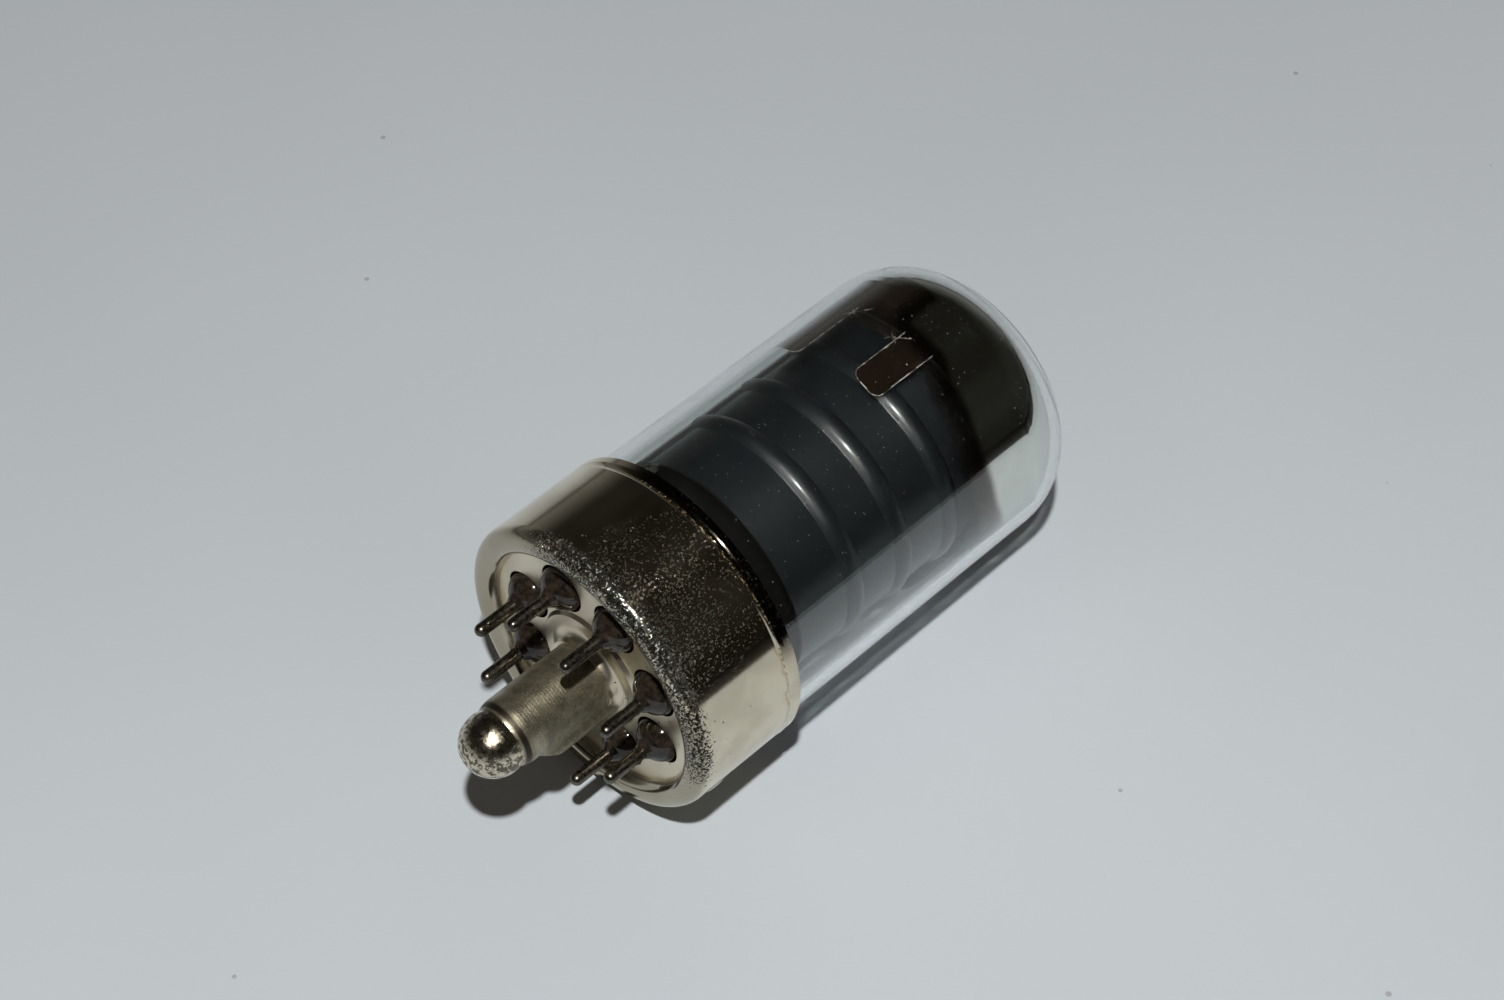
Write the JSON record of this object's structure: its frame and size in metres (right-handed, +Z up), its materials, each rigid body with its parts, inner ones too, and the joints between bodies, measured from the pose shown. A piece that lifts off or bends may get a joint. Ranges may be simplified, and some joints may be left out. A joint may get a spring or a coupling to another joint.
{
  "type": "pentode tube",
  "caption": "Glass radio tube with a metal base shell, keyed locking lug, stiff pins and a black shield can with raised beads around its wound grids, lying on its side.",
  "frame": {"origin": "centre of the bounding box in X and Y, on the floor at z = 0", "axes": "+X along the tube towards its glass dome, +Z up; the tube lies on its side"},
  "size_m": [0.0686, 0.0302, 0.0304],
  "materials": {
    "base_metal": "satin, pitted nickel plate",
    "lug_metal": "satin, tarnished",
    "pin_metal": "dark oxide",
    "wire_metal": "satin nickel",
    "bulb_glass": "clear",
    "header_glass": "dark, glossy",
    "cement": "matte",
    "black_coating": "semi-gloss black",
    "mica": "clear, layered",
    "white_coating": "matte"
  },
  "bodies": {
    "root": {"base_shell": "base_metal", "guide_lug": "lug_metal", "shell_cement": "cement", "glass_bulb": "bulb_glass", "glass_header": "header_glass", "contact_pin_1": "pin_metal", "contact_pin_2": "pin_metal", "contact_pin_3": "pin_metal", "contact_pin_4": "pin_metal", "contact_pin_5": "pin_metal", "contact_pin_6": "pin_metal", "contact_pin_7": "pin_metal", "contact_pin_8": "pin_metal", "shield_can": "black_coating", "shield_post_1": "wire_metal", "shield_post_2": "wire_metal", "top_mica": "mica", "bottom_mica": "mica", "anode_plate": "black_coating", "anode_post_1": "wire_metal", "anode_post_2": "wire_metal", "suppressor_grid_winding": "wire_metal", "suppressor_grid_rod_1": "wire_metal", "suppressor_grid_rod_2": "wire_metal", "screen_grid_winding": "wire_metal", "screen_grid_rod_1": "wire_metal", "screen_grid_rod_2": "wire_metal", "control_grid_winding": "wire_metal", "control_grid_rod_1": "wire_metal", "control_grid_rod_2": "wire_metal", "cathode_sleeve": "white_coating", "heater": "white_coating", "getter_ring": "wire_metal", "getter_post": "wire_metal", "heater_lead_1": "wire_metal", "heater_lead_2": "wire_metal", "cathode_lead": "wire_metal", "control_grid_lead": "wire_metal", "screen_grid_lead": "wire_metal", "suppressor_grid_lead": "wire_metal", "anode_lead": "wire_metal", "shield_lead": "wire_metal"}
  },
  "joints": []
}
